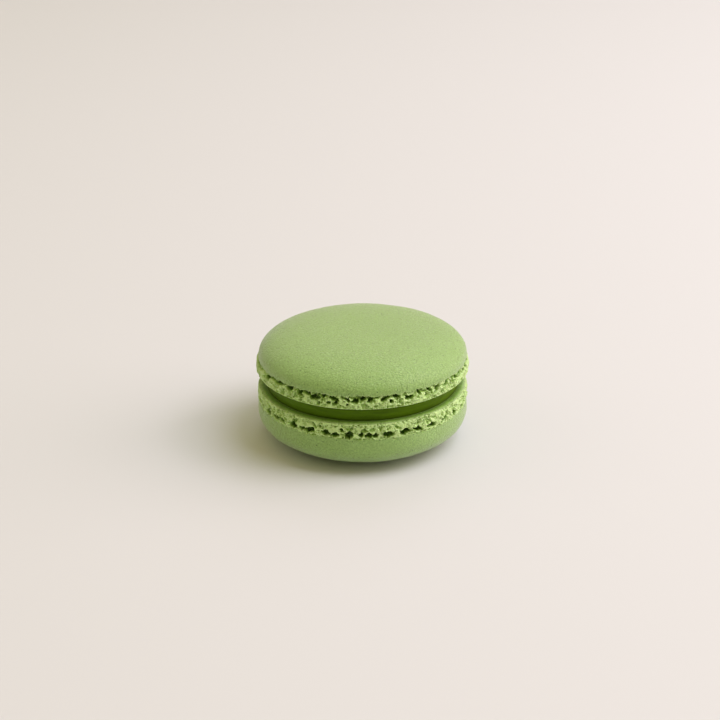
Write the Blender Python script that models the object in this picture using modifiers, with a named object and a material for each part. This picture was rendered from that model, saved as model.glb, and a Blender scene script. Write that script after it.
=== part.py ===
"""French macaron, in metres with +Z up, resting on its lower shell with the origin under its middle.

Two almond shells lie back to back on a disc of filling. Each shell is a smooth crowned skin and, on its
flat side, a ruffled foot: a band of baked foam with a row of hollows where the skin lifted in the oven.
"""

import math
import random

import bpy
from mathutils import Vector, noise

MM = 0.001

# Heights above the table, in millimetres.
BELLY_LOW = 7.3  # the lower skin's widest ring
SEAM_LOW = 9.6  # where the lower skin meets its foot
LEDGE = 13.3  # the flat face of the lower shell, which carries the filling
RIM_HIGH = 16.9  # the flat face of the upper shell, which lies on the filling
SEAM_HIGH = 20.0  # where the upper skin meets its foot
CROWN = 26.0  # the top of the upper shell

# Radii, in millimetres.
SKIN_HIGH = 24.0
FOOT_HIGH = 24.4
SKIN_LOW = 24.35
FOOT_LOW = 24.2
FILLING = 22.2
REST_SPOT = 10.4  # the small flat spot that the macaron stands on

# A skin's side is a superellipse: the first power shapes its shoulder, the second its drop to the seam.
SHOULDER_POWER = 2.8
DROP_POWER = 2.4

# The foot's edges and the crease at its seam, in millimetres.
RIM_ROUNDING = 0.25
CREASE = 0.3
BELLY = 0.2  # how far the foot swells past its rim

# How the foot is roughened, in millimetres.
HOLLOW_DEPTH = 1.5
HOLLOW_WIDTHS = (0.9, 1.7)  # half the width of the narrowest and of the widest hollow
HOLLOW_TALL = 0.7  # half the height of a hollow
HOLLOWS_HIGH = 0.7  # how far the upper row lies below its seam
HOLLOWS_LOW = 1.3  # how far the lower row lies above its seam
LUMP = 0.4
LUMP_SPACING = 2.2

TOUCH = 0.3  # the clearance kept between neighbouring solids
FILLING_EDGE = 0.3
FILLING_SWELL = 0.1
LEAN = 0.008  # the upper side rises this much for each millimetre towards +X
SKIN_SHIFT = 0.2  # the upper skin sits this far towards +X on its foot

TURNS = 132  # segments around each shell
SKIN_STEPS = 7
FOOT_STEPS = 6


def clear_scene():
    for thing in list(bpy.data.objects):
        bpy.data.objects.remove(thing, do_unlink=True)


def new_collection(name):
    collection = bpy.data.collections.new(name)
    bpy.context.scene.collection.children.link(collection)
    return collection


def new_material(name, colour, roughness):
    material = bpy.data.materials.new(name)
    material.use_nodes = True
    shader = material.node_tree.nodes["Principled BSDF"]
    shader.inputs["Base Color"].default_value = (*colour, 1.0)
    shader.inputs["Roughness"].default_value = roughness
    shader.inputs["Metallic"].default_value = 0.0
    return material


def turned(name, profile, steps, collection):
    """Turns a profile of (radius, height) in millimetres, listed from the top down, about the Z axis."""
    points = [(radius * MM, 0.0, height * MM) for radius, height in profile]
    edges = [(index, index + 1) for index in range(len(points) - 1)]
    outline = bpy.data.meshes.new(name + "_profile")
    outline.from_pydata(points, edges, [])
    blank = bpy.data.objects.new(name + "_profile", outline)
    collection.objects.link(blank)
    screw = blank.modifiers.new("Turn", "SCREW")
    screw.axis = "Z"
    screw.steps = steps
    screw.render_steps = steps
    screw.use_merge_vertices = True
    screw.merge_threshold = 0.00005
    graph = bpy.context.evaluated_depsgraph_get()
    solid = bpy.data.meshes.new_from_object(blank.evaluated_get(graph))
    solid.name = name
    bpy.data.objects.remove(blank, do_unlink=True)
    piece = bpy.data.objects.new(name, solid)
    collection.objects.link(piece)
    return piece


def fullness(share):
    """Height of the skin's curve, from 1 at the middle to 0 at its widest ring."""
    return (1 - share ** SHOULDER_POWER) ** (1 / DROP_POWER)


def skin_profile(radius, depth, stop=0.0):
    """The skin as (radius, distance from its widest ring), from that ring in to the ring of radius `stop`."""
    last = math.acos(stop / radius)
    points = []
    for step in range(SKIN_STEPS + 1):
        share = max(math.cos(last * step / SKIN_STEPS), 0.0)
        points.append((radius * share, depth * fullness(share)))
    return points


def foot_profile(rim, seam):
    """The foot's side from its rim to its seam, both as (radius, height), with a shallow swell between."""
    points = []
    for step in range(FOOT_STEPS + 1):
        share = step / FOOT_STEPS
        swell = BELLY * math.sin(math.pi * share)
        points.append((rim[0] + (seam[0] - rim[0]) * share + swell, rim[1] + (seam[1] - rim[1]) * share))
    return points


def hollows(seed, count):
    """Angle, half width and depth of each hollow along a seam, unevenly spaced and sized."""
    dice = random.Random(seed)
    made = []
    for index in range(count):
        angle = 2 * math.pi * (index + dice.uniform(-0.2, 0.2)) / count
        made.append((angle, dice.uniform(*HOLLOW_WIDTHS), HOLLOW_DEPTH * dice.uniform(0.6, 1.0)))
    return made


def dent(angle, rise, radius, row):
    """How far a row of hollows pushes in a point of the foot that lies `rise` above the row."""
    deepest = 0.0
    for centre, half_width, depth in row:
        turn = abs((angle - centre + math.pi) % (2 * math.pi) - math.pi)
        reach = (turn * radius / half_width) ** 2 + (rise / HOLLOW_TALL) ** 2
        deepest = max(deepest, depth * math.exp(-reach * reach))
    return deepest


def ruffle(piece, low, high, row, row_height):
    """Roughens the side of a foot between two heights: hollows in a row, and lumps all over."""
    for vertex in piece.data.vertices:
        spot = vertex.co / MM
        radius = math.hypot(spot.x, spot.y)
        if not low < spot.z < high or radius < FILLING:
            continue
        angle = math.atan2(spot.y, spot.x)
        lump = LUMP * noise.noise(spot / LUMP_SPACING)
        moved = radius + lump - dent(angle, spot.z - row_height, radius, row)
        vertex.co.x *= moved / radius
        vertex.co.y *= moved / radius


def lean(piece, from_height, to_height):
    """Tips a piece: nothing moves at from_height, and all of it does from to_height up."""
    for vertex in piece.data.vertices:
        share = (vertex.co.z / MM - from_height) / (to_height - from_height)
        vertex.co.z += vertex.co.x * LEAN * min(max(share, 0.0), 1.0)


def finish(piece, material):
    piece.data.materials.clear()
    piece.data.materials.append(material)
    piece.data.shade_smooth()
    piece.data.set_sharp_from_angle(angle=math.radians(40))


def make_upper_shell(collection, material):
    skin = [(radius, SEAM_HIGH + rise) for radius, rise in skin_profile(SKIN_HIGH, CROWN - SEAM_HIGH)]
    lip = (SKIN_HIGH - CREASE, SEAM_HIGH - CREASE / 2)
    rim = (FOOT_HIGH, RIM_HIGH + RIM_ROUNDING)
    foot = foot_profile(rim, (SKIN_HIGH, SEAM_HIGH - CREASE))
    underside = [(FOOT_HIGH - RIM_ROUNDING, RIM_HIGH), (0.0, RIM_HIGH)]
    piece = turned("upper_shell", [*skin[::-1], lip, *foot[::-1], *underside], TURNS, collection)
    ruffle(piece, RIM_HIGH, SEAM_HIGH - CREASE / 2, hollows(3, 40), SEAM_HIGH - HOLLOWS_HIGH)
    for vertex in piece.data.vertices:
        if vertex.co.z / MM > SEAM_HIGH - CREASE:
            vertex.co.x += SKIN_SHIFT * MM
    lean(piece, 0.0, RIM_HIGH)
    finish(piece, material)


def make_lower_shell(collection, material):
    depth = BELLY_LOW / fullness(REST_SPOT / SKIN_LOW)
    skin = [(radius, BELLY_LOW - drop) for radius, drop in skin_profile(SKIN_LOW, depth, REST_SPOT)]
    crease = (SKIN_LOW - CREASE, SEAM_LOW)
    rim = (FOOT_LOW - RIM_ROUNDING, LEDGE - RIM_ROUNDING)
    foot = foot_profile(rim, (SKIN_LOW, SEAM_LOW + CREASE))
    ledge = [(0.0, LEDGE), (rim[0] - RIM_ROUNDING, LEDGE)]
    piece = turned("lower_shell", [*ledge, *foot, crease, *skin, (0.0, 0.0)], TURNS, collection)
    ruffle(piece, SEAM_LOW, LEDGE, hollows(8, 38), SEAM_LOW + HOLLOWS_LOW)
    lean(piece, BELLY_LOW, LEDGE)
    finish(piece, material)


def make_filling(collection, material):
    low = LEDGE + TOUCH
    high = RIM_HIGH - TOUCH
    profile = [
        (0.0, high),
        (FILLING - FILLING_EDGE, high),
        (FILLING, high - FILLING_EDGE),
        (FILLING + FILLING_SWELL, (low + high) / 2),
        (FILLING, low + FILLING_EDGE),
        (FILLING - FILLING_EDGE, low),
        (0.0, low),
    ]
    piece = turned("filling", profile, TURNS // 2, collection)
    lean(piece, 0.0, low)
    finish(piece, material)


def main():
    clear_scene()
    macaron = new_collection("french_macaron")
    shell = new_material("almond_shell", (0.33, 0.46, 0.17), 0.75)
    cream = new_material("green_filling", (0.10, 0.17, 0.02), 0.45)
    make_upper_shell(macaron, shell)
    make_filling(macaron, cream)
    make_lower_shell(macaron, shell)


main()
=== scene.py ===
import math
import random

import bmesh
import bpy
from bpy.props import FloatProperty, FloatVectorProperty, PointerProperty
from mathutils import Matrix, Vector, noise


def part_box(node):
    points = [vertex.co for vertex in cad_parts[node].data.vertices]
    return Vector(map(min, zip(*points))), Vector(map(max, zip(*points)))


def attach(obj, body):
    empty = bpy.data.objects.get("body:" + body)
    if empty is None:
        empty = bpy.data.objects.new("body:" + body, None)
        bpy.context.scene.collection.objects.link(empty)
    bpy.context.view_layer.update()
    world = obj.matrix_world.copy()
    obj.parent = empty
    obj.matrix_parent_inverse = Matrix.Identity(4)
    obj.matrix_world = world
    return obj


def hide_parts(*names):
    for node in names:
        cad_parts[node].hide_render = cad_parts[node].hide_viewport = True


bl_info = {
    "name": "French Macaron",
    "version": (1, 0, 0),
    "blender": (4, 5, 0),
    "location": "3D View > Sidebar > Macaron",
    "description": "Bakes a filled almond macaron with ruffled feet, and sets a soft studio table around it",
    "category": "Add Mesh",
}

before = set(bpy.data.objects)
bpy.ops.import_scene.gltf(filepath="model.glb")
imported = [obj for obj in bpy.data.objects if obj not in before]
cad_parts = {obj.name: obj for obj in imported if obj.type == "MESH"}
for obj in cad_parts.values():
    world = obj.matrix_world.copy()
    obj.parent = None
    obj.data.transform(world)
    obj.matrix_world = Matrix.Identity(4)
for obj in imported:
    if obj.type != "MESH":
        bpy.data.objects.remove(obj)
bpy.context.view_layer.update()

MM = 0.001

# Lowest and highest corners of the solids, which the baked pieces keep to.
UPPER_LOW, UPPER_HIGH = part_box("upper_shell")
LOWER_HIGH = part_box("lower_shell")[1]
FILLING_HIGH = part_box("filling")[1]

# Radii in millimetres of the flat faces above and below the filling.
UPPER_FACE = 24.15
LOWER_FACE = 23.7

# Powers of a dome's curve: the first shapes its shoulder, the second its drop to the seam.
SHOULDER_POWER = 2.8
DROP_POWER = 2.4
EXTRA_RINGS = (0.25, 0.55)  # millimetres beyond a seam or a dome's widest ring

# How a foot starts below its seam, swells, and is rounded off at its rim, in millimetres.
FOOT_START = 0.12
FOOT_SWELL = 0.22
RIM_ROUNDING = 0.22

# Rings from a foot's rim in over its flat face: distance in from the rim and height above the face,
# both in millimetres, and the share of the face's fall towards its rim.
FACE_RINGS = (
    (0.07, 0.07, 0.8),
    (0.24, 0.0, 0.6),
    (0.65, 0.0, 0.2),
    (1.1, 0.0, 0.0),
    (4.0, 0.0, 0.0),
    (12.0, 0.0, 0.0),
)

# The skin's faint undulation: its height, its length, and how far beyond a flat spot it is full.
UNDULATION = 0.07
UNDULATION_LENGTH = 7.0
UNDULATION_FADE = 3.0

SHELL_SEGMENTS = 360
FOOT_ROW = 0.42  # height in millimetres of a row of faces in a foot before it is refined
FOOT_CUTS = 3
FOOT_MARGIN = 0.7  # how far past the foot, up the skin and in over the flat face, the mesh is refined
FILLING_SEGMENTS = 240


# ---------------------------------------------------------------- settings


class MacaronSizes(bpy.types.PropertyGroup):
    """Sizes of the two shells, and how far the macaron leans."""

    lean: FloatProperty(
        name="Lean",
        description="Rise of the upper side for each unit of length towards +X",
        default=0.008,
    )
    upper_foot: FloatProperty(
        name="Upper foot height",
        description="Height of the ruffled band under the upper skin",
        default=3.1 * MM,
        unit="LENGTH",
        precision=5,
    )
    lower_foot: FloatProperty(
        name="Lower foot height",
        description="Height of the ruffled band above the lower skin",
        default=3.85 * MM,
        unit="LENGTH",
        precision=5,
    )
    upper_skin_radius: FloatProperty(
        name="Upper skin radius",
        description="Radius of the upper dome",
        default=24.0 * MM,
        unit="LENGTH",
        precision=5,
    )
    lower_skin_radius: FloatProperty(
        name="Lower skin radius",
        description="Radius of the lower dome",
        default=24.3 * MM,
        unit="LENGTH",
        precision=5,
    )


class MacaronColours(bpy.types.PropertyGroup):
    """Colours of the crust, the crumb and the filling."""

    crust: FloatVectorProperty(
        name="Crust",
        description="Smooth skin of the shells",
        subtype="COLOR",
        size=3,
        min=0.0,
        max=1.0,
        default=(0.285, 0.482, 0.114),
    )
    crumb: FloatVectorProperty(
        name="Crumb",
        description="Porous foam of the feet",
        subtype="COLOR",
        size=3,
        min=0.0,
        max=1.0,
        default=(0.52, 0.735, 0.275),
    )
    # Painted shade on the walls of the hollows in the feet.
    recess_shade: FloatVectorProperty(
        name="Recess",
        description="Painted shade on the walls of the hollows in the feet",
        subtype="COLOR",
        size=3,
        min=0.0,
        max=1.0,
        default=(0.284, 0.477, 0.091),
    )
    # Painted shade on the ledge, darkest next to the filling.
    ledge_shade: FloatVectorProperty(
        name="Ledge shade",
        description="Crumb darkened towards the filling as painted shade",
        subtype="COLOR",
        size=3,
        min=0.0,
        max=1.0,
        default=(0.21, 0.38, 0.062),
    )
    # Painted shade in the depths of the hollows in the feet.
    pit_shade: FloatVectorProperty(
        name="Pit",
        description="Painted shade in the depths of the hollows in the feet",
        subtype="COLOR",
        size=3,
        min=0.0,
        max=1.0,
        default=(0.06, 0.145, 0.005),
    )
    filling: FloatVectorProperty(
        name="Filling",
        description="Smooth filling between the shells",
        subtype="COLOR",
        size=3,
        min=0.0,
        max=1.0,
        default=(0.08, 0.162, 0.001),
    )
    table: FloatVectorProperty(
        name="Table",
        description="Plain pale surface under the macaron",
        subtype="COLOR",
        size=3,
        min=0.0,
        max=1.0,
        default=(0.655, 0.678, 0.652),
    )


# ---------------------------------------------------------------- shaping helpers


def smooth(low, high, value):
    """0 below low, 1 above high, and an even curve between."""
    share = min(max((value - low) / (high - low), 0.0), 1.0)
    return share * share * (3.0 - 2.0 * share)


def mix(first, second, share):
    """The number at a share of the way from first to second."""
    return first + (second - first) * share


def fullness(share):
    """Height of a dome's curve, from 1 at its pole to 0 at its widest ring."""
    return (1.0 - share ** SHOULDER_POWER) ** (1.0 / DROP_POWER)


def dome(radius, height, steps, stop=0.0):
    """(radius, rise) pairs from the widest ring of a dome in to its pole or to the ring of radius `stop`."""
    last = math.acos(stop / radius)
    points = [(radius, 0.0)]
    for rise in EXTRA_RINGS:
        points.append((radius * (1.0 - (rise / height) ** DROP_POWER) ** (1.0 / SHOULDER_POWER), rise))
    for step in range(1, steps + 1):
        share = max(math.cos(last * step / steps), 0.0)
        points.append((radius * share, height * fullness(share)))
    return points


STRAYS = (Vector((0.0, 0.0, 0.0)), Vector((31.4, 7.2, 1.9)), Vector((5.3, 47.1, 23.6)))


def stray_vector(place):
    """Noise along each of the three axes, read at places far enough apart to differ."""
    return Vector(noise.noise(place + stray) for stray in STRAYS)


def spun(profile, steps):
    """A closed bmesh turned from (radius, height) pairs in millimetres."""
    bm = bmesh.new()
    verts = [bm.verts.new((radius, 0.0, height)) for radius, height in profile]
    edges = [bm.edges.new(pair) for pair in zip(verts, verts[1:])]
    bmesh.ops.spin(
        bm,
        geom=verts + edges,
        cent=(0.0, 0.0, 0.0),
        axis=(0.0, 0.0, 1.0),
        angle=2.0 * math.pi,
        steps=steps,
        use_merge=True,
    )
    bmesh.ops.remove_doubles(bm, verts=bm.verts, dist=1e-4)
    bmesh.ops.recalc_face_normals(bm, faces=bm.faces)
    return bm


def refine(bm, cuts, inside):
    """Divides each edge whose two ends are inside, and the faces between them."""
    edges = [edge for edge in bm.edges if all(inside(vert.co) for vert in edge.verts)]
    bmesh.ops.subdivide_edges(bm, edges=edges, cuts=cuts, use_grid_fill=True)
    odd = [face for face in bm.faces if len(face.verts) > 4]
    bmesh.ops.triangulate(bm, faces=odd)


# ---------------------------------------------------------------- the foot

# Hollows round the front: degrees from the front towards +X, then distance from the seam,
# width and height in millimetres.
UPPER_HOLLOWS = (
    (-62, 0.87, 1.9, 1.0), (-51, 0.62, 2.1, 0.9), (-46, 1.60, 0.8, 0.8), (-42, 0.72, 1.7, 0.9),
    (-35, 1.07, 1.7, 1.4), (-30, 0.67, 2.0, 0.9), (-26, 1.17, 2.7, 1.2), (-24, 2.10, 0.6, 0.6),
    (-21, 0.62, 1.1, 0.8), (-18, 1.90, 0.9, 0.8), (-15, 0.87, 2.5, 1.0), (-14, 1.80, 0.9, 0.7),
    (-8, 0.77, 1.3, 0.8), (-8, 1.90, 0.7, 0.7), (-4, 1.17, 1.5, 1.2), (0, 0.72, 1.2, 0.9),
    (4, 0.92, 1.5, 1.1), (12, 0.82, 2.1, 1.1), (15, 1.50, 0.8, 0.7), (18, 0.67, 1.6, 0.9),
    (25, 1.17, 2.3, 1.3), (31, 0.77, 0.9, 0.9), (35, 1.45, 0.8, 0.8), (38, 0.77, 1.2, 0.9),
    (43, 0.87, 1.4, 0.9), (50, 0.87, 1.7, 1.1), (53, 1.17, 1.3, 0.9), (60, 0.87, 1.2, 0.9),
    (65, 0.87, 1.3, 0.9),
)
LOWER_HOLLOWS = (
    (-70, 0.95, 1.8, 1.0), (-62, 0.95, 2.6, 1.4), (-54, 0.95, 2.4, 1.2), (-48, 1.00, 2.2, 1.2),
    (-40, 1.05, 2.3, 1.8), (-34, 1.00, 1.6, 1.0), (-29, 1.20, 2.6, 1.6), (-23, 2.55, 0.7, 0.7),
    (-20, 1.15, 2.2, 1.3), (-15, 0.95, 2.0, 1.1), (-11, 2.15, 0.9, 1.2), (-7, 1.10, 1.8, 1.8),
    (-1, 1.15, 1.1, 1.1), (3, 1.05, 1.9, 1.5), (7, 1.00, 1.6, 1.2), (14, 1.05, 2.5, 1.5),
    (23, 1.15, 2.4, 1.7), (31, 1.05, 2.6, 1.2), (40, 1.00, 2.2, 1.4), (49, 1.00, 2.2, 1.4),
    (60, 0.95, 2.0, 1.4), (68, 0.95, 1.4, 1.0),
)
FRONT = -math.pi / 2.0
LISTED = math.radians(70.0)  # how far to each side of the front the hollows are listed


class Foot:
    """The rough band of a shell, from the seam under its skin to the thin smooth rim.

    Distances are in millimetres. `facing` is 1 on a shell that stays as it is built,
    and -1 on one that is turned over about the X axis afterwards. `row` is how far from the seam
    the hollows round the back lie.
    """

    lip = 0.0  # how far the pale crumb colour reaches up over the edge of the skin: partly bare crumb, partly a painted highlight line along the lip
    groove = 0.0  # depth of the crease in the skin just beyond the seam

    def __init__(self, seed, facing, height, radius, hollows, row):
        self.facing = facing
        self.height = height
        self.radius = radius
        self.shift = Vector((seed * 13.7, seed * 7.1, seed * 3.3))
        self.dice = random.Random(seed)
        self.hollows = [
            self.hollow_at(FRONT + math.radians(degrees), level, wide, tall)
            for degrees, level, wide, tall in hollows
        ]
        turn = FRONT + LISTED
        while turn < FRONT + 2.0 * math.pi - LISTED:
            wide = self.dice.uniform(0.6, 2.1)
            tall = self.dice.uniform(0.4, 0.6) + 0.25 * wide
            self.hollows.append(self.hollow_at(turn, row + self.dice.uniform(-0.3, 0.3), wide, tall))
            turn += (wide + self.dice.uniform(0.2, 1.0)) / radius

    def hollow_at(self, turn, level, wide, tall):
        """One hollow: where it is, half its width and height, its tilt and its depth."""
        depth = self.dice.uniform(1.3, 1.8) * min(1.0, 0.45 + 0.6 * wide * tall)
        tilt = self.dice.uniform(-0.35, 0.35)
        return turn * self.facing, level, wide / 2.0, tall / 2.0, tilt, depth

    def hollow(self, turn, level):
        """Depth of the hollows at a place: pointed at both ends, with steep sides."""
        deepest = 0.0
        for centre, row, wide, tall, tilt, depth in self.hollows:
            along = ((turn - centre + math.pi) % (2.0 * math.pi) - math.pi) * self.radius
            if abs(along) > wide + 0.3:
                continue
            above = level - row + tilt * along
            shape = 1.0 - abs(along / wide) ** 1.4 - abs(above / tall) ** 1.8
            deepest = max(deepest, depth * smooth(-0.15, 0.2, shape))
        return deepest

    def cells(self, place, size, share, depth):
        """Open cells of a foam, with sharp walls between them. A share of them is open."""
        near, spots = noise.voronoi(place / size)
        chance = 0.5 + 0.5 * noise.cell(spots[0] * 31.7)
        opened = smooth(1.0 - share, 1.2 - share, chance) * (0.6 + 0.4 * chance)
        return depth * opened * smooth(0.03, 0.24, near[1] - near[0])

    def wave(self, spot):
        """How far the seam strays up or down at this place round the shell."""
        flat = Vector((spot.x, spot.y, 0.0)).normalized() * self.radius + self.shift
        return 0.42 * noise.noise(flat / 1.2) + 0.34 * noise.noise(flat / 0.5)

    def set_back(self, level, place):
        """Inward step of the band near the seam."""
        raise NotImplementedError

    def foam(self, level, place, ragged):
        """Depth of the open cells."""
        raise NotImplementedError

    def relief(self, spot):
        """How far a point of the band moves inwards, and how deep it lies in a hole."""
        down = -spot.z
        place = spot + self.shift
        ragged = stray_vector(place / 0.9) * 0.34 + stray_vector(place / 0.35) * 0.17
        turn = math.atan2(spot.y, spot.x) + ragged.x / self.radius
        level = down + ragged.z
        deep = max(self.hollow(turn, level), self.set_back(level, place))
        lumps = 0.20 * noise.noise(place / 1.6) + 0.09 * noise.noise(place / 0.6)
        body = smooth(0.0, 0.12, down)
        body *= 1.0 - smooth(self.height - 0.26, self.height - 0.06, down)
        rim = 0.06 * noise.noise(place / 0.6) * (1.0 - body)
        hole = (self.foam(level, place, ragged) + deep) * body
        return hole + lumps * body + rim, hole

    def shape(self, bm):
        """Moves the band, and marks what is crumb, how deep it lies, which sets the painted shade in its
        hollows, and how far in from the rim it lies, which sets the painted shade on the ledge next to the
        filling.
        """
        foam_layer = bm.verts.layers.float.new("foam")
        hollow_shade_layer = bm.verts.layers.float.new("hollow_shade")
        ledge_shade_layer = bm.verts.layers.float.new("ledge_shade")
        for vert in bm.verts:
            spot = vert.co.copy()
            radius = math.hypot(spot.x, spot.y)
            down = -spot.z
            if down > 1.0:
                vert[foam_layer] = 1.0
                vert[ledge_shade_layer] = 1.0
            if radius < self.radius - 1.8 or down < -1.0:
                continue
            outer = smooth(self.radius - 1.7, self.radius - 1.0, radius)
            stray = self.wave(spot) * smooth(-0.9, 0.0, down) * (1.0 - smooth(0.1, 1.0, down))
            vert.co.z += stray * outer
            if down <= 0.0:
                inward = self.groove * math.exp(-(((down + 0.32) / 0.09) ** 2))
                hole = 0.0
                # Pale crumb colour over the skin's edge: partly bare crumb, partly a painted highlight line
                # along the lip.
                lip = self.lip * (0.6 + 0.8 * noise.noise(spot / 0.6 + self.shift))
                vert[foam_layer] = 1.0 - smooth(lip - 0.15, lip + 0.05, -down)
            else:
                inward, hole = self.relief(spot)
                inward *= outer
                vert[foam_layer] = 1.0
                # Painted shade on the ledge: none near the rim, full from 1.9 mm in, next to the filling.
                vert[ledge_shade_layer] = min(max((self.radius - 0.3 - radius) / 1.6, 0.0), 1.0)
            # Painted shade: how deep the point lies in a hole, which darkens the crumb colour.
            vert[hollow_shade_layer] = min(max((hole * outer + 0.16) / 1.3, 0.0), 1.0)
            moved = radius - inward
            vert.co.x *= moved / radius
            vert.co.y *= moved / radius
        for face in bm.faces:
            crumb = sum(vert[foam_layer] for vert in face.verts)
            face.material_index = int(crumb > 0.5 * len(face.verts))


class UpperFoot(Foot):
    """Set back under the overhanging skin, with hollows right below it."""

    lip = 0.18

    def set_back(self, level, place):
        patchy = smooth(-0.45, 0.25, noise.noise(place / 1.3) + 0.6 * noise.noise(place / 0.45))
        return 0.58 * patchy * smooth(-0.02, 0.12, level) * (1.0 - smooth(0.45, 0.95, level))

    def foam(self, level, place, ragged):
        foam = self.cells(place + ragged, 1.2, 0.50, 0.38)
        foam += self.cells(place + ragged + Vector((5.0, 9.0, 2.0)), 0.62, 0.60, 0.28)
        foam += self.cells(place + Vector((1.0, 4.0, 7.0)), 0.40, 0.45, 0.14)
        return foam - 0.13


class LowerFoot(Foot):
    """A row of nubs along the seam, hollows beyond it, wide bowls and a row of fine pits."""

    groove = 0.07

    def set_back(self, level, place):
        broken = smooth(-0.25, 0.15, noise.noise(place / 0.8))
        return 0.30 * broken * (1.0 - smooth(0.06, 0.22, level))

    def foam(self, level, place, ragged):
        bowls = smooth(0.7, 1.0, level) * (1.0 - smooth(self.height - 1.3, self.height - 0.9, level))
        flatter = Vector((place.x, place.y, place.z * 1.3))
        foam = bowls * self.cells(flatter + ragged, 1.7, 0.60, 0.45)
        foam += self.cells(place + ragged + Vector((5.0, 9.0, 2.0)), 0.62, 0.50, 0.28)
        row = smooth(self.height - 1.3, self.height - 0.9, level)
        foam += (0.12 + 0.28 * row) * self.cells(place + Vector((2.0, 4.0, 8.0)), 0.50, 0.60, 1.0)
        return foam - 0.12


def shell_profile(skin, seam_radius, rim_radius, height, slope, rows):
    """Skin, seam, foot and flat face of a shell lying on its flat face, with the seam at height 0.

    The flat face falls away by `slope` towards its rim.
    """
    points = [*skin, (seam_radius, 0.0)]
    for step in range(rows + 1):
        share = step / rows
        swell = FOOT_SWELL * math.sin(math.pi * min(share * 1.1, 1.0))
        down = FOOT_START + (height - FOOT_START - RIM_ROUNDING - slope) * share
        points.append((mix(seam_radius - 0.05, rim_radius, share) + swell, -down))
    for inset, rise, fall in FACE_RINGS:
        points.append((rim_radius - inset, -height + rise + slope * fall))
    points.append((0.0, -height))
    return points


# ---------------------------------------------------------------- materials


def node(tree, kind, **inputs):
    """A shader node with numbers or colours set on its own sockets."""
    made = tree.nodes.new(kind)
    for name, value in inputs.items():
        made.inputs[name.replace("_", " ")].default_value = value
    return made


def blank_material(name):
    """A new material, its node tree and its main shader."""
    material = bpy.data.materials.new(name)
    material.use_nodes = True
    tree = material.node_tree
    shader = tree.nodes["Principled BSDF"]
    return material, tree, shader


def pattern(tree, kind, scale, **inputs):
    """A texture node on object coordinates, with its scale in patterns per metre."""
    coordinates = tree.nodes.new("ShaderNodeTexCoord")
    made = node(tree, kind, Scale=scale, **inputs)
    tree.links.new(coordinates.outputs["Object"], made.inputs["Vector"])
    return made


def ramp(tree, source, stops):
    """Turns a number into a colour through stops of (position, grey value or colour)."""
    made = tree.nodes.new("ShaderNodeValToRGB")
    elements = made.color_ramp.elements
    while len(elements) < len(stops):
        elements.new(0.5)
    for element, (position, value) in zip(elements, stops):
        element.position = position
        element.color = (*value, 1.0) if isinstance(value, tuple) else (value, value, value, 1.0)
    tree.links.new(source, made.inputs["Fac"])
    return made.outputs["Color"]


def blend(tree, share, first, second):
    """Mixes two colours or sockets by a share, itself a number or a socket."""
    made = tree.nodes.new("ShaderNodeMix")
    made.data_type = "RGBA"
    for name, value in (("Factor", share), ("A", first), ("B", second)):
        socket = next(s for s in made.inputs if s.name == name and s.enabled)
        if isinstance(value, bpy.types.NodeSocket):
            tree.links.new(value, socket)
        elif name == "Factor":
            socket.default_value = value
        else:
            socket.default_value = (*value, 1.0)
    return next(s for s in made.outputs if s.enabled)


def times(colour, amount):
    """A colour made lighter or darker."""
    return tuple(min(channel * amount, 1.0) for channel in colour)


def product(tree, first, second):
    """Two sockets multiplied."""
    made = node(tree, "ShaderNodeMath")
    made.operation = "MULTIPLY"
    tree.links.new(first, made.inputs[0])
    tree.links.new(second, made.inputs[1])
    return made.outputs["Value"]


def attribute(tree, name):
    """The number that a piece's mesh stores at each vertex under this name."""
    made = tree.nodes.new("ShaderNodeAttribute")
    made.attribute_name = name
    return made.outputs["Fac"]


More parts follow.
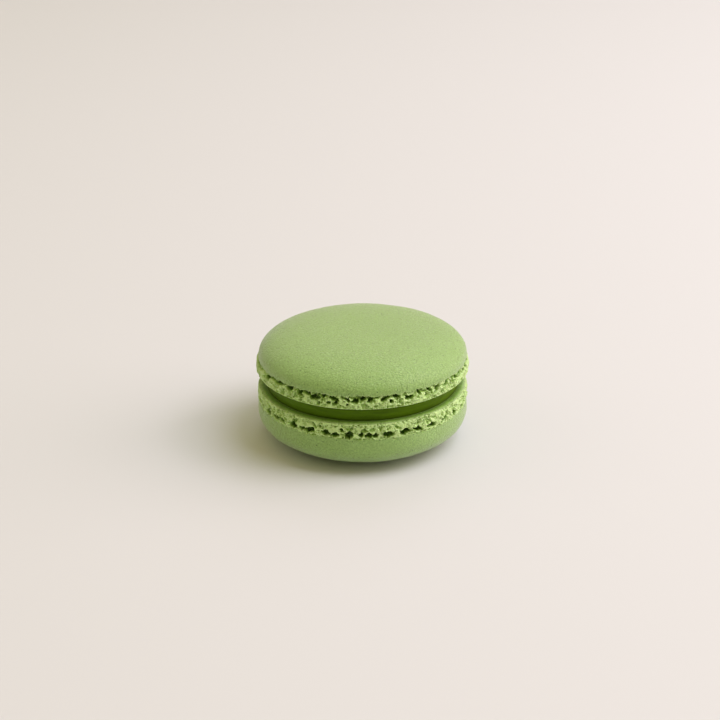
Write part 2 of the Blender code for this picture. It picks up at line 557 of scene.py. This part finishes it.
def shell_material(name, colours, sheen):
    """Matte almond crust, with a porous crumb where the foam attribute says so, painted shade in the crumb's
    hollows and pores, and painted shade on the ledge next to the filling.
    """
    material, tree, shader = blank_material(name)
    paler = tuple(mix(channel, 0.55, 0.08) for channel in colours.crust)
    mottle = pattern(tree, "ShaderNodeTexNoise", 3000.0, Detail=2.0, Roughness=0.7)
    mottle = ramp(
        tree,
        mottle.outputs["Fac"],
        [(0.3, times(colours.crust, 0.66)), (0.7, times(paler, 1.2))],
    )
    patches = pattern(tree, "ShaderNodeTexNoise", 130.0, Detail=2.0, Roughness=0.5)
    patches = ramp(tree, patches.outputs["Fac"], [(0.35, 0.0), (0.65, 0.3)])
    crust = blend(tree, patches, mottle, times(colours.crust, 0.96))
    for scale, radius in ((430.0, 0.08), (900.0, 0.13)):
        specks = pattern(tree, "ShaderNodeTexVoronoi", scale)
        near = ramp(tree, specks.outputs["Distance"], [(radius * 0.75, 1.0), (radius, 0.0)])
        chosen = ramp(tree, specks.outputs["Color"], [(0.35, 0.0), (0.5, 1.0)])
        crust = blend(tree, product(tree, near, chosen), crust, times(colours.crust, 0.28))
    # Painted shade in the hollows of the feet: the crumb darkens with how deep it lies in a hole, through
    # the recess colour to the pit colour.
    crumb = ramp(
        tree,
        attribute(tree, "hollow_shade"),
        [
            (0.02, tuple(colours.crumb)),
            (0.15, times(colours.crumb, 0.96)),
            (0.36, tuple(colours.recess_shade)),
            (0.90, tuple(colours.pit_shade)),
        ],
    )
    # Small pores in the crumb: sunk by the bump, and darkened towards the recess colour as painted shade.
    holes = pattern(tree, "ShaderNodeTexVoronoi", 1500.0)
    hole = ramp(tree, holes.outputs["Distance"], [(0.16, 1.0), (0.34, 0.0)])
    hole = product(tree, hole, ramp(tree, holes.outputs["Color"], [(0.45, 0.0), (0.6, 0.7)]))
    crumb = blend(tree, hole, crumb, times(colours.recess_shade, 0.8))
    # Painted shade on the ledge, darker towards the filling, with random darker blotches.
    ledge_shade_share = attribute(tree, "ledge_shade")
    ledge_shade_colour = ramp(
        tree,
        ledge_shade_share,
        [
            (0.08, times(colours.crumb, 0.78)),
            (0.4, times(colours.ledge_shade, 1.2)),
            (0.9, times(colours.ledge_shade, 0.42)),
        ],
    )
    blotches = pattern(tree, "ShaderNodeTexNoise", 900.0, Detail=3.0, Roughness=0.7)
    blotched = ramp(tree, blotches.outputs["Fac"], [(0.4, 0.0), (0.65, 0.45)])
    ledge_shade_colour = blend(tree, blotched, ledge_shade_colour, times(colours.ledge_shade, 0.5))
    crumb = blend(tree, ramp(tree, ledge_shade_share, [(0.0, 0.0), (0.08, 1.0)]), crumb, ledge_shade_colour)
    foam = attribute(tree, "foam")
    tree.links.new(blend(tree, foam, crust, crumb), shader.inputs["Base Color"])
    grain = pattern(tree, "ShaderNodeTexNoise", 2100.0, Detail=3.0, Roughness=0.7)
    soft = blend(tree, product(tree, foam, foam), grain.outputs["Color"], (0.5, 0.5, 0.5))
    sunk = blend(tree, product(tree, hole, foam), soft, (-1.0, -1.0, -1.0))
    bump = node(tree, "ShaderNodeBump", Strength=1.0, Distance=0.00028)
    tree.links.new(sunk, bump.inputs["Height"])
    tree.links.new(bump.outputs["Normal"], shader.inputs["Normal"])
    shader.inputs["Roughness"].default_value = 0.36
    shader.inputs["Specular IOR Level"].default_value = 0.33
    shader.inputs["Sheen Weight"].default_value = sheen
    shader.inputs["Sheen Roughness"].default_value = 0.5
    shader.inputs["Subsurface Weight"].default_value = 0.12
    shader.inputs["Subsurface Radius"].default_value = (0.6, 1.0, 0.3)
    shader.inputs["Subsurface Scale"].default_value = 0.0008
    return material


def filling_material(colours):
    """Satin green cream, with faint streaks round it and painted shadow lines at its top, under the upper
    shell, and at its foot, on the ledge.
    """
    material, tree, shader = blank_material("smooth green filling")
    coordinates = tree.nodes.new("ShaderNodeTexCoord")
    stretch = tree.nodes.new("ShaderNodeMapping")
    stretch.inputs["Scale"].default_value = (1.0, 1.0, 9.0)
    tree.links.new(coordinates.outputs["Object"], stretch.inputs["Vector"])
    streaks = node(tree, "ShaderNodeTexNoise", Scale=160.0, Detail=3.0, Roughness=0.6)
    tree.links.new(stretch.outputs["Vector"], streaks.inputs["Vector"])
    colour = ramp(
        tree,
        streaks.outputs["Fac"],
        [(0.3, times(colours.filling, 0.8)), (0.7, times(colours.filling, 1.25))],
    )
    # Painted shadow: darker at the filling's foot, where it meets the ledge, and along its top, under the
    # upper shell.
    shade = ramp(
        tree,
        attribute(tree, "height"),
        [(0.0, 1.0), (0.13, 0.35), (0.30, 0.0), (0.66, 0.0), (0.82, 1.0)],
    )
    colour = blend(tree, shade, colour, times(colours.filling, 0.3))
    tree.links.new(colour, shader.inputs["Base Color"])
    bump = node(tree, "ShaderNodeBump", Strength=0.3, Distance=0.0001)
    tree.links.new(streaks.outputs["Fac"], bump.inputs["Height"])
    tree.links.new(bump.outputs["Normal"], shader.inputs["Normal"])
    shader.inputs["Roughness"].default_value = 0.42
    shader.inputs["Specular IOR Level"].default_value = 0.08
    shader.inputs["Sheen Weight"].default_value = 0.15
    shader.inputs["Sheen Roughness"].default_value = 0.4
    shader.inputs["Sheen Tint"].default_value = (0.8, 1.0, 0.2, 1.0)
    return material


def table_material(colours):
    """A dull, pale surface."""
    material, _, shader = blank_material("pale table")
    shader.inputs["Base Color"].default_value = (*colours.table, 1.0)
    shader.inputs["Roughness"].default_value = 0.9
    shader.inputs["Specular IOR Level"].default_value = 0.2
    return material


# ---------------------------------------------------------------- finishing a piece


def settle(bm, lean, from_height, to_height):
    """Leans what lies above from_height, fully from to_height up, in millimetres."""
    for vert in bm.verts:
        share = (vert.co.z - from_height) / (to_height - from_height)
        vert.co.z += vert.co.x * lean * min(max(share, 0.0), 1.0)


def finish(bm, name, materials, replaced):
    """Makes a bmesh in millimetres the piece that stands for a solid."""
    bm.transform(Matrix.Scale(MM, 4))
    mesh = bpy.data.meshes.new(name)
    bm.to_mesh(mesh)
    bm.free()
    mesh.shade_smooth()
    for material in materials:
        mesh.materials.append(material)
    piece = bpy.data.objects.new(name, mesh)
    bpy.context.scene.collection.objects.link(piece)
    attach(piece, "root")
    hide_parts(replaced)
    return piece


def shell_look(colours):
    """The crust, with its velvety sheen, and the dull crumb."""
    return [
        bpy.data.materials.get(name) or shell_material(name, colours, sheen)
        for name, sheen in (("almond crust", 0.32), ("almond crumb", 0.04))
    ]


def build_shell(skin, seam_radius, rim_radius, height, slope, flat, foot):
    """A shell lying on its flat face. Its skin undulates outside a flat spot of radius `flat`."""
    rows = round(height / FOOT_ROW)
    bm = spun(shell_profile(skin, seam_radius, rim_radius, height, slope, rows), SHELL_SEGMENTS)
    inner = rim_radius - FOOT_MARGIN
    refine(bm, FOOT_CUTS, lambda co: co.z < FOOT_MARGIN and math.hypot(co.x, co.y) > inner)
    foot.shape(bm)
    for vert in bm.verts:
        if vert.co.z > -0.2:
            radius = math.hypot(vert.co.x, vert.co.y)
            share = smooth(0.0, 1.0, vert.co.z) * smooth(flat, flat + UNDULATION_FADE, radius)
            wave = noise.noise(vert.co / UNDULATION_LENGTH + foot.shift)
            vert.co += vert.normal * UNDULATION * share * wave
    return bm


def upper_face(sizes):
    """Height in millimetres of the upper shell's flat face, before it leans."""
    return UPPER_LOW.z / MM + sizes.lean * UPPER_FACE


def lower_face(sizes):
    """Height in millimetres of the lower shell's flat face, before it leans."""
    return LOWER_HIGH.z / MM - sizes.lean * LOWER_FACE


# ---------------------------------------------------------------- pieces


class MACARON_OT_upper_shell(bpy.types.Operator):
    """Bake the upper shell: domed skin above, ruffled foot below"""

    bl_idname = "macaron.upper_shell"
    bl_label = "Upper shell"
    bl_options = {"REGISTER", "UNDO"}

    def execute(self, context):
        sizes = context.scene.macaron_sizes
        colours = context.scene.macaron_colours
        rim = 24.4
        edge = 0.05  # how far the skin's edge stands above the seam
        aside = 0.02  # how far the skin sits towards +X on its foot
        height = sizes.upper_foot / MM
        seam_z = upper_face(sizes) + height
        crown = UPPER_HIGH.z / MM - seam_z
        radius = sizes.upper_skin_radius / MM
        skin = [(r, z + edge) for r, z in dome(radius, crown - edge, 26)[::-1]]
        foot = UpperFoot(seed=3, facing=1, height=height, radius=rim, hollows=UPPER_HOLLOWS, row=0.7)
        bm = build_shell(
            skin,
            seam_radius=radius,
            rim_radius=rim - 0.05,
            height=height,
            slope=0.0,
            flat=-UNDULATION_FADE,
            foot=foot,
        )
        for vert in bm.verts:
            vert.co.x += aside * smooth(-0.1, 0.1, vert.co.z)
        bmesh.ops.translate(bm, verts=bm.verts, vec=(0.0, 0.0, seam_z))
        settle(bm, sizes.lean, 0.0, 1.0)
        finish(bm, "upper_shell_baked", shell_look(colours), "upper_shell")
        return {"FINISHED"}


class MACARON_OT_lower_shell(bpy.types.Operator):
    """Bake the lower shell: the same kind of shell turned over, with a small flat spot to stand on"""

    bl_idname = "macaron.lower_shell"
    bl_label = "Lower shell"
    bl_options = {"REGISTER", "UNDO"}

    def execute(self, context):
        sizes = context.scene.macaron_sizes
        colours = context.scene.macaron_colours
        height = sizes.lower_foot / MM
        ledge = lower_face(sizes)
        seam_z = ledge - height
        belly = 2.3  # from the seam to the skin's widest ring
        rest = 10.4  # radius of the flat spot
        radius = sizes.lower_skin_radius / MM
        depth = (seam_z - belly) / fullness(rest / radius)
        skin = [(0.0, seam_z), (rest * 0.5, seam_z)]
        skin += [(r, z + belly) for r, z in dome(radius, depth, 24, rest)[::-1]]
        for rise in (1.6, 1.0, *EXTRA_RINGS[::-1]):
            skin.append((mix(radius - 0.18, radius, rise / belly), rise))
        foot = LowerFoot(seed=8, facing=-1, height=height, radius=24.2, hollows=LOWER_HOLLOWS, row=1.1)
        bm = build_shell(
            skin,
            seam_radius=radius - 0.25,
            rim_radius=23.98,
            height=height,
            slope=0.25,
            flat=rest,
            foot=foot,
        )
        over = Matrix.Rotation(math.pi, 3, "X")
        bmesh.ops.rotate(bm, verts=bm.verts, cent=(0.0, 0.0, 0.0), matrix=over)
        bmesh.ops.translate(bm, verts=bm.verts, vec=(0.0, 0.0, seam_z))
        settle(bm, sizes.lean, seam_z - belly, ledge)
        finish(bm, "lower_shell_baked", shell_look(colours), "lower_shell")
        return {"FINISHED"}


class MACARON_OT_filling(bpy.types.Operator):
    """Spread the filling between the shells"""

    bl_idname = "macaron.filling"
    bl_label = "Filling"
    bl_options = {"REGISTER", "UNDO"}

    def execute(self, context):
        sizes = context.scene.macaron_sizes
        colours = context.scene.macaron_colours
        swell = 0.1
        sunk = 0.1  # how far the filling reaches into each flat face
        radius = FILLING_HIGH.x / MM - swell
        low = lower_face(sizes) - sunk
        high = upper_face(sizes) + sunk
        profile = [(0.0, high), (radius - 4.0, high), (radius + 0.05, high)]
        rows = 16
        for step in range(1, rows):
            share = step / rows
            profile.append((radius + swell * math.sin(math.pi * share), mix(high, low, share)))
        profile += [(radius + swell, low), (radius - 4.0, low), (0.0, low)]
        bm = spun(profile, FILLING_SEGMENTS)
        for vert in bm.verts:
            if math.hypot(vert.co.x, vert.co.y) > radius - 1.0:
                push = 0.06 * noise.noise(vert.co / 5.0) + 0.02 * noise.noise(vert.co / 1.3)
                outward = Vector((vert.co.x, vert.co.y, 0.0)).normalized()
                vert.co += outward * push
        height_layer = bm.verts.layers.float.new("height")
        for vert in bm.verts:
            vert[height_layer] = (vert.co.z - low) / (high - low)
        settle(bm, sizes.lean, 0.0, 1.0)
        finish(bm, "filling_spread", [filling_material(colours)], "filling")
        return {"FINISHED"}


# ---------------------------------------------------------------- stage

# Name, elevation, azimuth from +X and angular width in degrees, watts and colour. Distances are in metres.
LIGHTS = (
    ("key", 59, -9, 42, 9.1, (0.79, 0.78, 1.0)),
    ("side", 27, 4, 50, 10.0, (1.0, 0.82, 0.90)),
    ("back", 40, 70, 40, 2.55, (0.72, 0.72, 1.0)),
    ("left", 30, 180, 40, 0.9, (1.0, 0.98, 0.85)),
)
LIGHT_DISTANCE = 1.2
TABLE_REACH = 3.0
TABLE_DROP = 0.01 * MM  # keeps the table just clear of the flat spot

CAMERA_ELEVATION = math.radians(23.93)
CAMERA_DISTANCE = 0.4
CAMERA_TARGET = Vector((-0.58, 0.0, 18.1)) * MM


def soft_light(name, elevation, azimuth, spread, energy, colour):
    """A round softbox that faces the macaron from far enough to light it evenly."""
    area = bpy.data.lights.new(name, "AREA")
    area.shape = "DISK"
    area.size = 2.0 * LIGHT_DISTANCE * math.tan(math.radians(spread / 2.0))
    area.energy = energy
    area.color = colour
    lamp = bpy.data.objects.new(name, area)
    turn = math.radians(azimuth)
    rise = math.radians(elevation)
    level = math.cos(rise)
    direction = Vector((level * math.cos(turn), level * math.sin(turn), math.sin(rise)))
    lamp.location = direction * LIGHT_DISTANCE
    lamp.rotation_euler = direction.to_track_quat("Z", "Y").to_euler()
    return lamp


def pale_table(colours):
    """A wide level sheet just under the macaron."""
    bm = bmesh.new()
    bmesh.ops.create_grid(bm, x_segments=1, y_segments=1, size=TABLE_REACH)
    bmesh.ops.translate(bm, verts=bm.verts, vec=(0.0, 0.0, -TABLE_DROP))
    mesh = bpy.data.meshes.new("table")
    bm.to_mesh(mesh)
    bm.free()
    mesh.materials.append(table_material(colours))
    return bpy.data.objects.new("table", mesh)


def front_camera():
    """A camera in front of the macaron, which looks down on it from a little above."""
    optics = bpy.data.cameras.new("camera")
    optics.lens = 86.53
    optics.sensor_width = 36.0
    optics.clip_start = 0.01
    optics.clip_end = 20.0
    camera = bpy.data.objects.new("camera", optics)
    back = Vector((0.0, -math.cos(CAMERA_ELEVATION), math.sin(CAMERA_ELEVATION)))
    camera.location = CAMERA_TARGET + back * CAMERA_DISTANCE
    camera.rotation_euler = (math.pi / 2 - CAMERA_ELEVATION, 0.0, 0.0)
    return camera


def warm_world():
    """Warm light that brightens with height, and a plain pale backdrop beyond the table."""
    world = bpy.data.worlds.new("studio")
    world.use_nodes = True
    tree = world.node_tree
    direction = tree.nodes.new("ShaderNodeTexCoord")
    height = tree.nodes.new("ShaderNodeSeparateXYZ")
    tree.links.new(direction.outputs["Generated"], height.inputs["Vector"])
    sky = ramp(tree, height.outputs["Z"], [(0.0, (0.10, 0.088, 0.055)), (0.5, (1.0, 0.84, 0.49))])
    fill = tree.nodes["Background"]
    fill.inputs["Strength"].default_value = 0.585
    tree.links.new(sky, fill.inputs["Color"])
    seen = node(tree, "ShaderNodeBackground", Color=(0.84, 0.80, 0.74, 1.0), Strength=1.0)
    path = tree.nodes.new("ShaderNodeLightPath")
    either = tree.nodes.new("ShaderNodeMixShader")
    tree.links.new(path.outputs["Is Camera Ray"], either.inputs["Fac"])
    tree.links.new(fill.outputs["Background"], either.inputs[1])
    tree.links.new(seen.outputs["Background"], either.inputs[2])
    tree.links.new(either.outputs["Shader"], tree.nodes["World Output"].inputs["Surface"])
    return world


class MACARON_OT_stage(bpy.types.Operator):
    """Set the pale table, the soft light and the camera"""

    bl_idname = "macaron.stage"
    bl_label = "Stage"
    bl_options = {"REGISTER", "UNDO"}

    def execute(self, context):
        scene = context.scene
        table = pale_table(scene.macaron_colours)
        scene.collection.objects.link(table)
        camera = front_camera()
        scene.collection.objects.link(camera)
        scene.camera = camera
        for light in LIGHTS:
            scene.collection.objects.link(soft_light(*light))
        scene.world = warm_world()
        scene.view_settings.view_transform = "Standard"
        return {"FINISHED"}


# ---------------------------------------------------------------- panel


class MACARON_PT_sidebar(bpy.types.Panel):
    """Lists the macaron's pieces, sizes and colours"""

    bl_idname = "MACARON_PT_sidebar"
    bl_label = "French Macaron"
    bl_space_type = "VIEW_3D"
    bl_region_type = "UI"
    bl_category = "Macaron"

    def draw(self, context):
        layout = self.layout
        for group in (context.scene.macaron_sizes, context.scene.macaron_colours):
            column = layout.column()
            for name in group.bl_rna.properties.keys():
                if name not in {"rna_type", "name"}:
                    column.prop(group, name)
        for operator in OPERATORS:
            layout.operator(operator.bl_idname)


OPERATORS = (
    MACARON_OT_lower_shell,
    MACARON_OT_filling,
    MACARON_OT_upper_shell,
    MACARON_OT_stage,
)
GROUPS = (("macaron_sizes", MacaronSizes), ("macaron_colours", MacaronColours))


def register():
    for name, group in GROUPS:
        bpy.utils.register_class(group)
        setattr(bpy.types.Scene, name, PointerProperty(type=group))
    for operator in OPERATORS:
        bpy.utils.register_class(operator)
    bpy.utils.register_class(MACARON_PT_sidebar)


def unregister():
    bpy.utils.unregister_class(MACARON_PT_sidebar)
    for operator in reversed(OPERATORS):
        bpy.utils.unregister_class(operator)
    for name, group in reversed(GROUPS):
        delattr(bpy.types.Scene, name)
        bpy.utils.unregister_class(group)


def main():
    register()
    bpy.ops.macaron.lower_shell()
    bpy.ops.macaron.filling()
    bpy.ops.macaron.upper_shell()
    bpy.ops.macaron.stage()


if __name__ == "__main__":
    main()
